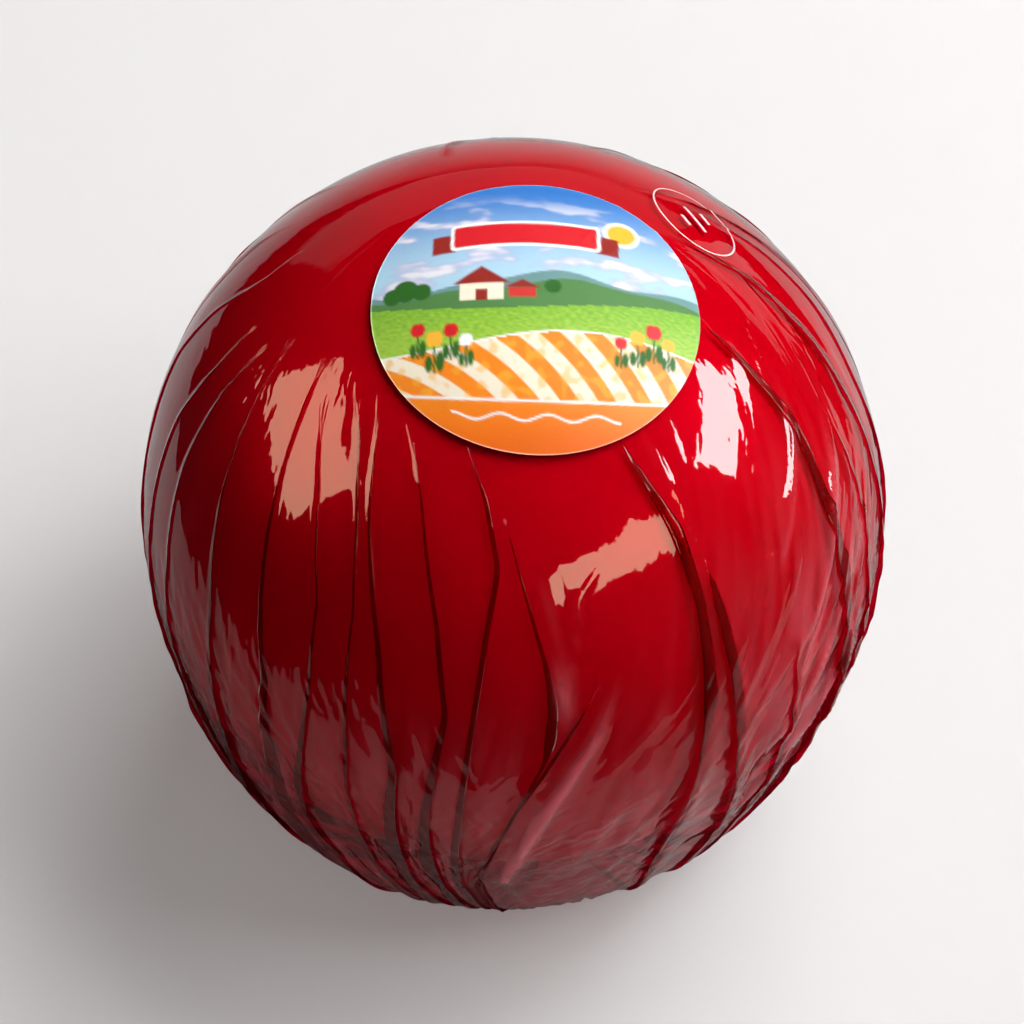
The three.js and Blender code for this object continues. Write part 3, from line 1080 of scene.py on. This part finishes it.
def make_floor():
    """The floor, the smaller board that the film's gloss sees in its place, and the dim plane that
    sends light back up to the ball."""
    pale = lit_material("pale_floor", (0.42, 0.418, 0.417), (1, 0.92, 0.90), 0.20)
    floor = make_plane("floor", (-12, -12), (12, 12), -0.0003, pale)
    floor.visible_glossy = False
    floor.visible_diffuse = False
    floor.visible_shadow = False
    board = make_plane("board", (-0.26, -0.20), (0.26, 1.6), -0.0001, board_material())
    dim = lit_material("dim_floor", (0.44, 0.44, 0.44), (1, 0.88, 0.85), 0.32)
    bounce = make_plane("bounce", (-2, -2), (2, 2), -0.0005, dim)
    for plane in (board, bounce):
        plane.visible_camera = False
        plane.visible_transmission = False
        plane.visible_shadow = False
    board.visible_diffuse = False
    bounce.visible_glossy = False


def compass(azimuth, elevation):
    """A unit vector from degrees round from the front by the right, and degrees above the table."""
    flat = math.cos(rad(elevation))
    return Vector((
        flat * math.sin(rad(azimuth)),
        -flat * math.cos(rad(azimuth)),
        math.sin(rad(elevation)),
    ))


LIGHT_DISTANCE = 1.8  # in metres
WINDOW_DISTANCE = 1.4


def make_light(name, azimuth, elevation, wide, high, strength, colour, in_gloss):
    """A soft rectangular light that spans wide by high degrees as the ball sees it. One that shows
    in the film's gloss has its brightness as strength, and any other lights surfaces by strength."""
    light = bpy.data.lights.new(name, "AREA")
    light.shape = "RECTANGLE"
    distance = WINDOW_DISTANCE if in_gloss else LIGHT_DISTANCE
    light.size = 2 * distance * math.tan(rad(wide) / 2)
    light.size_y = 2 * distance * math.tan(rad(high) / 2)
    area = light.size * light.size_y
    brightness = strength if in_gloss else strength * distance ** 2 / area
    light.energy = brightness * area * math.pi
    light.color = colour
    lamp = bpy.data.objects.new(name, light)
    towards = compass(azimuth, elevation)
    lamp.location = Vector((0, 0, CENTRE[2] / 1000)) + towards * distance
    lamp.rotation_mode = "QUATERNION"
    lamp.rotation_quaternion = towards.to_track_quat("Z", "Y")
    lamp.visible_glossy = in_gloss
    lamp.visible_diffuse = not in_gloss
    bpy.context.scene.collection.objects.link(lamp)


def make_lights():
    """Soft lamps that light the surfaces, and the windows and dim walls that the gloss shows."""
    white = (1, 1, 1)
    make_light("key_back", 140, 52, 44, 38, 3.8, white, False)
    make_light("key_right", 100, 48, 44, 38, 3.7, white, False)
    make_light("fill", 12, 64, 44, 38, 0.5, white, False)
    make_light("window_right", 99, 31, 28, 13, 20, white, True)
    make_light("window_left", -94, 31, 36, 22, 8.2, (1, 0.62, 0.42), True)
    make_light("window_front", 40, 37, 32, 10, 7.8, (1, 0.76, 0.54), True)
    make_light("wall_back", 184, 7, 64, 20, 0.26, white, True)
    make_light("wall_right", 137, 3, 24, 20, 0.8, white, True)


def make_world():
    """A pale studio wall, which lights nothing and isn't seen in the film's gloss."""
    world = bpy.data.worlds.new("studio")
    world.use_nodes = True
    nodes, links = world.node_tree.nodes, world.node_tree.links
    nodes.clear()
    output = nodes.new("ShaderNodeOutputWorld")
    background = nodes.new("ShaderNodeBackground")
    background.inputs["Color"].default_value = (0.80, 0.795, 0.79, 1)
    links.new(background.outputs["Background"], output.inputs["Surface"])
    for kind in ("diffuse", "glossy", "transmission", "scatter"):
        setattr(world.cycles_visibility, kind, False)
    bpy.context.scene.world = world


def make_camera():
    """The camera, aimed so that the ball's centre falls on its pixel."""
    data = bpy.data.cameras.new("camera")
    data.lens = CAMERA_LENS
    data.sensor_width = SENSOR
    data.clip_start = 0.05
    data.clip_end = 50
    camera = bpy.data.objects.new("camera", data)
    back = compass(0, CAMERA_ELEVATION)
    up = Vector((0, math.sin(rad(CAMERA_ELEVATION)), math.cos(rad(CAMERA_ELEVATION))))
    ball = Vector(CENTRE) / 1000
    camera.location = ball + back * (CAMERA_DISTANCE / 1000)
    pixel = CAMERA_DISTANCE / 1000 * SENSOR / CAMERA_LENS / PHOTO_SIDE
    right_by = (PHOTO_SIDE / 2 - BALL_CENTRE_PIXEL[0]) * pixel
    up_by = (BALL_CENTRE_PIXEL[1] - PHOTO_SIDE / 2) * pixel
    aim = ball + Vector((right_by, 0, 0)) + up * up_by
    camera.rotation_mode = "QUATERNION"
    camera.rotation_quaternion = (camera.location - aim).to_track_quat("Z", "Y")
    bpy.context.scene.collection.objects.link(camera)
    bpy.context.scene.camera = camera


def set_view():
    scene = bpy.context.scene
    scene.view_settings.view_transform = "Standard"
    scene.view_settings.look = "None"
    cycles = scene.cycles
    cycles.use_adaptive_sampling = True
    cycles.adaptive_threshold = 0.1
    cycles.adaptive_min_samples = 12
    cycles.transparent_max_bounces = 10
    cycles.max_bounces = 3
    cycles.glossy_bounces = 2
    cycles.diffuse_bounces = 1
    cycles.use_denoising = True
    cycles.sample_clamp_indirect = 6.0


make_camera()
make_lights()
make_world()
make_floor()
set_view()
film_points = make_film(film_material())
make_wax(wax_material())
make_label(label_material())
make_stamp(ink_material(), film_points)
